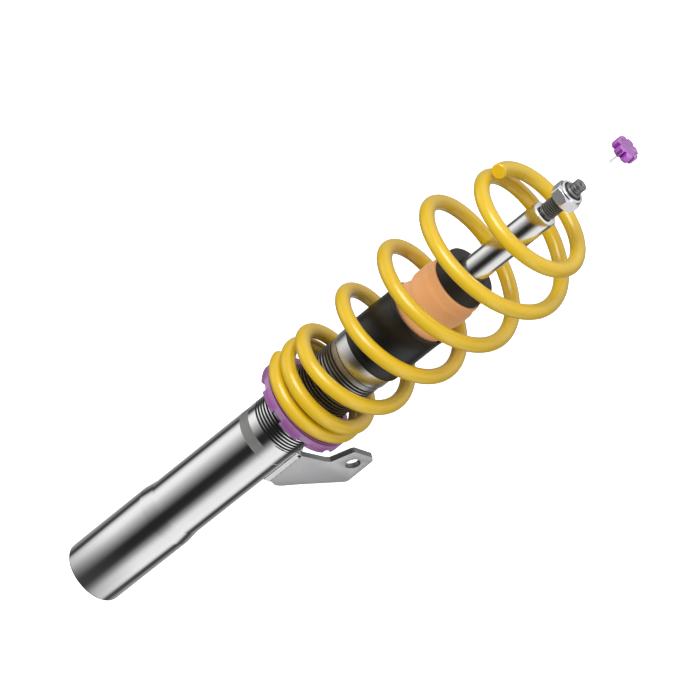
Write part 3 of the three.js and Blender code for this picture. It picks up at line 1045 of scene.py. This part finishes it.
# ---------------------------------------------------------------- studio
# What polished metal sees around it below the horizon: (degrees from -Y, brightness).
LOW_BANDS = (
    (-180, 0.45), (-150, 0.33), (-138, 0.20), (-127, 0.05), (-115, 0.07), (-103, 0.70),
    (-90, 0.98), (-72, 0.92), (-48, 0.50), (-27, 0.19), (-13, 0.04), (-7, 0.02),
    (12, 0.022), (20, 0.055), (34, 0.30), (48, 0.70), (58, 0.88), (92, 0.95),
    (102, 0.76), (113, 0.08), (127, 0.05), (138, 0.22), (150, 0.33), (180, 0.45),
)
# What it sees above the horizon, and how much of LOW_BANDS shows, from straight down (0) to
# straight up (1).
HIGH_PANELS = ((0.0, 0.03), (0.5, 0.16), (0.62, 0.36), (0.8, 0.9), (1.0, 1.0))
LOW_SHARE = ((0.0, 0.0), (0.12, 0.0), (0.2, 1.0), (0.46, 1.0), (0.56, 0.0))
SOFT_LIGHT = 0.68


def studio_world():
    """Even soft light for matt surfaces. Shiny ones see bright and dark panels all round."""
    world = bpy.data.worlds.new("studio")
    scene.world = world
    world.use_nodes = True
    nodes, links = world.node_tree.nodes, world.node_tree.links
    nodes.clear()

    def math_node(operation, first, second):
        made = nodes.new("ShaderNodeMath")
        made.operation = operation
        for socket, value in zip(made.inputs, (first, second)):
            if isinstance(value, (int, float)):
                socket.default_value = value
            else:
                links.new(value, socket)
        return made.outputs[0]

    def ramp(factor, stops):
        made = nodes.new("ShaderNodeValToRGB")
        fill_ramp(made.color_ramp, stops)
        links.new(factor, made.inputs["Fac"])
        return made.outputs["Color"]

    def background(strength):
        made = nodes.new("ShaderNodeBackground")
        made.inputs["Color"].default_value = (1, 1, 1, 1)
        made.inputs["Strength"].default_value = strength
        return made

    def choose(ray, otherwise, chosen):
        made = nodes.new("ShaderNodeMixShader")
        for socket, output in zip(made.inputs, (ray, otherwise, chosen)):
            links.new(output, socket)
        return made.outputs[0]

    direction = nodes.new("ShaderNodeSeparateXYZ")
    links.new(nodes.new("ShaderNodeTexCoord").outputs["Generated"], direction.inputs[0])
    x, y, z = direction.outputs
    azimuth = math_node("ARCTAN2", x, math_node("MULTIPLY", y, -1))
    share = math_node("ADD", math_node("DIVIDE", azimuth, 2 * math.pi), 0.5)
    height = math_node("ADD", math_node("MULTIPLY", z, 0.5), 0.5)
    panels = nodes.new("ShaderNodeMix")
    panels.data_type = "RGBA"
    links.new(ramp(height, LOW_SHARE), panels.inputs[MIX_FACTOR])
    links.new(ramp(height, HIGH_PANELS), panels.inputs[MIX_FIRST])
    low_bands = [(degrees / 360 + 0.5, value) for degrees, value in LOW_BANDS]
    links.new(ramp(share, low_bands), panels.inputs[MIX_SECOND])

    rays = nodes.new("ShaderNodeLightPath").outputs
    shiny = background(1)
    links.new(panels.outputs[MIX_RESULT], shiny.inputs["Color"])
    lit = choose(rays["Is Glossy Ray"], background(SOFT_LIGHT).outputs[0], shiny.outputs[0])
    seen = choose(rays["Is Camera Ray"], lit, background(1).outputs[0])
    links.new(seen, nodes.new("ShaderNodeOutputWorld").inputs["Surface"])


def softbox(name, place, power, size):
    """A rectangular light of so many watts and metres, aimed at the middle of the strut."""
    data = bpy.data.lights.new(name, "AREA")
    data.shape = "RECTANGLE"
    data.size, data.size_y = size
    data.energy = power
    light = bpy.data.objects.new(name, data)
    direction = Vector((0, 0, 0.36)) - Vector(place)
    light.location = place
    light.rotation_euler = direction.to_track_quat("-Z", "Y").to_euler()
    scene.collection.objects.link(light)


def add_studio():
    """The lights and the pale floor, which glows so that it stays even."""
    studio_world()
    softbox("key_softbox", (-1.6, -1.5, 2.3), 52, (1.6, 1.6))
    softbox("fill_softbox", (2.2, -1.8, 0.9), 8, (1.2, 1.8))
    scene.view_settings.view_transform = "Standard"
    floor_mesh = bpy.data.meshes.new("floor")
    half, height = 30, -0.9
    corners = [(-half, -half, height), (half, -half, height), (half, half, height), (-half, half, height)]
    floor_mesh.from_pydata(corners, [], [(0, 1, 2, 3)])
    floor = bpy.data.objects.new("floor", floor_mesh)
    pale = Shader("pale_floor", (0.9, 0.9, 0.9), roughness=0.9)
    pale.set("Emission Color", (1, 1, 1, 1))
    pale.set("Emission Strength", 0.9)
    floor.data.materials.append(pale.material)
    floor.visible_glossy = False
    floor.visible_diffuse = False
    scene.collection.objects.link(floor)


# ---------------------------------------------------------------- build
add_camera()
add_studio()

polished = turned_metal("polished_steel", (0.93, 0.93, 0.93), 0.10)
chrome = turned_metal("hard_chrome", (0.90, 0.90, 0.89), 0.14, rings=700, marks=1.0e-6)
collar_polish = turned_metal("collar_polish", (0.72, 0.72, 0.71), 0.28)
band_steel = dull_band_painted_sheen()
crest_steel = plain_metal("crest_steel", (0.40, 0.40, 0.41), 0.38)
stud_steel = plain_metal("stud_steel", (0.17, 0.17, 0.16), 0.4, metallic=0.6)
# Near-black painted shade for thread grooves, and painted shadow beside the front weld.
painted_shade_steel = plain_metal("painted_shade_steel", (0.035, 0.033, 0.03), 0.45, metallic=0.5)
# The front weld is coloured near white and almost not metallic: a painted highlight.
weld_painted_highlight = plain_metal("weld_painted_highlight", (0.95, 0.95, 0.95), 0.3, metallic=0.1)
nut_steel = plain_metal("nut_steel", (0.80, 0.80, 0.83), 0.26)
dark_steel = plain_metal("dark_steel", (0.19, 0.19, 0.19), 0.38, metallic=0.7)
inner_steel = plain_metal("inner_steel", (0.58, 0.58, 0.6), 0.35)
brass = plain_metal("brass", (0.72, 0.52, 0.24), 0.3)
bronze = plain_metal("bearing_bronze", (0.46, 0.32, 0.17), 0.4)
silver = bracket_metal("bracket_silver", (0.70, 0.70, 0.71), (0.57, 0.57, 0.585))
cut_edge = bracket_metal("bracket_cut_edge", (0.26, 0.26, 0.26), (0.17, 0.17, 0.17))
purple = anodised("perch_purple", (0.36, 0.08, 0.37), (0.30, 0.06, 0.31), 0.42, metallic=0.3)
violet = anodised("knob_violet", (0.66, 0.085, 0.80), (0.50, 0.04, 0.64), 0.24, metallic=0.75)
paler_top_violet = anodised("knob_top", (0.50, 0.24, 0.56), (0.38, 0.13, 0.44), 0.4, metallic=0.5)
yellow = powder_coat()
sleeve_rubber = black_rubber("sleeve_rubber", (0.005, 0.005, 0.005), 0.36)
cap_rubber = black_rubber("cap_rubber", (0.006, 0.006, 0.0065), 0.44)
foam = stop_foam()
nylon_ring = nylon()

add_tube(polished, band_steel, painted_shade_steel, crest_steel)
add_base_cap(inner_steel)
add_gland(collar_polish)
add_bracket(silver, cut_edge)
add_front_weld(weld_painted_highlight, painted_shade_steel)
add_back_weld(silver)
add_perch(purple)
add_slip_ring(purple)
add_spring(yellow)
add_bump_pack(sleeve_rubber, foam, cap_rubber)
add_rod(chrome, stud_steel, painted_shade_steel)
add_nut(nut_steel)
add_insert(nylon_ring)
add_adjuster(dark_steel)
add_knob(violet, paler_top_violet)
add_key(nut_steel)
dress_inner_parts({
    "pressure_tube": (inner_steel, "plain_steel"),
    "foot_valve_body": (inner_steel, "plain_steel"),
    "foot_valve_disc": (brass, "brass"),
    "foot_valve_bolt": (inner_steel, "plain_steel"),
    "rod_guide": (inner_steel, "plain_steel"),
    "guide_bush": (bronze, "bearing_bronze"),
    "rod_seal": (cap_rubber, "black_rubber"),
    "piston_ring": (bronze, "bearing_bronze"),
    "piston": (inner_steel, "plain_steel"),
    "compression_shims": (brass, "brass"),
    "rebound_shims": (brass, "brass"),
    "piston_nut": (inner_steel, "plain_steel"),
    "rebound_stop": (cap_rubber, "black_rubber"),
    "metering_needle": (inner_steel, "plain_steel"),
})
